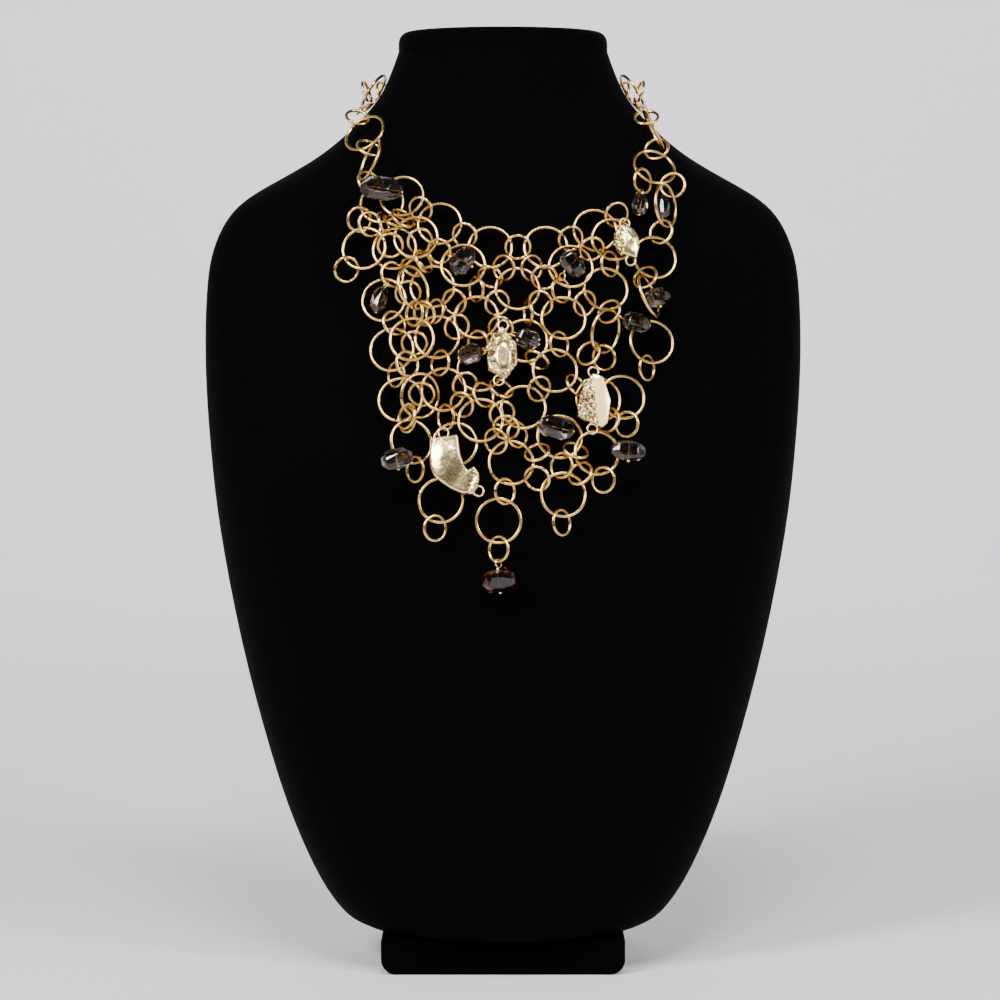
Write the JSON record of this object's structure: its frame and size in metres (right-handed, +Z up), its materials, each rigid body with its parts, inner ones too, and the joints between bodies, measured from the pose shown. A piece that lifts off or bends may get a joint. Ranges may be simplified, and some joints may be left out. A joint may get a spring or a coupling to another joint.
{
  "type": "bib necklace on a neck bust",
  "caption": "Bib necklace: a V-shaped net of gold jump rings with gold nuggets and smoky stones, laid on a black velvet neck bust.",
  "frame": {"origin": "centre of the flat underside of the bust's foot", "axes": "+Z up the bust towards the neck, the chest and the necklace face -Y, +X is to the right seen from the front"},
  "size_m": [0.287, 0.173, 0.447],
  "materials": {
    "velvet": "matt black velvet with a faint sheen at grazing angles",
    "ring_gold": "warm antique gold plate, polished on top and darker rose-brown in its hollows",
    "nugget_gold": "pale champagne gold, hammered smooth in places and pitted in others",
    "smoky_stone": "faceted smoky quartz, transparent grey-brown to near black, polished",
    "amber_stone": "faceted reddish-brown quartz, transparent, polished"
  },
  "bodies": {
    "root": {"bust_torso": "velvet", "bust_foot": "velvet", "neck_cap": "velvet", "shoulder_left": "ring_gold", "shoulder_right": "ring_gold", "row_1_left": "ring_gold", "row_1_right": "ring_gold", "row_2_left": "ring_gold", "row_2_right": "ring_gold", "row_3_left": "ring_gold", "row_3_right": "ring_gold", "row_4_left": "ring_gold", "row_4_right": "ring_gold", "row_5_left": "ring_gold", "row_5_right": "ring_gold", "row_6_left": "ring_gold", "point_left": "ring_gold", "point_middle": "ring_gold", "point_right": "ring_gold", "point_outer": "ring_gold", "back_chain_left": "ring_gold", "back_chain_right": "ring_gold", "end_link_left": "ring_gold", "end_link_right": "ring_gold", "clasp": "ring_gold", "stone_1": "smoky_stone", "stone_2": "smoky_stone", "stone_3": "smoky_stone", "stone_4": "smoky_stone", "stone_5": "smoky_stone", "stone_6": "smoky_stone", "stone_7": "smoky_stone", "stone_8": "smoky_stone", "stone_9": "smoky_stone", "stone_10": "smoky_stone", "stone_11": "smoky_stone", "stone_12": "smoky_stone", "stone_13": "smoky_stone", "stone_14": "amber_stone", "nugget_half_moon": "nugget_gold", "nugget_hexagon": "nugget_gold", "nugget_facet": "nugget_gold", "nugget_boot": "nugget_gold"}
  },
  "joints": []
}
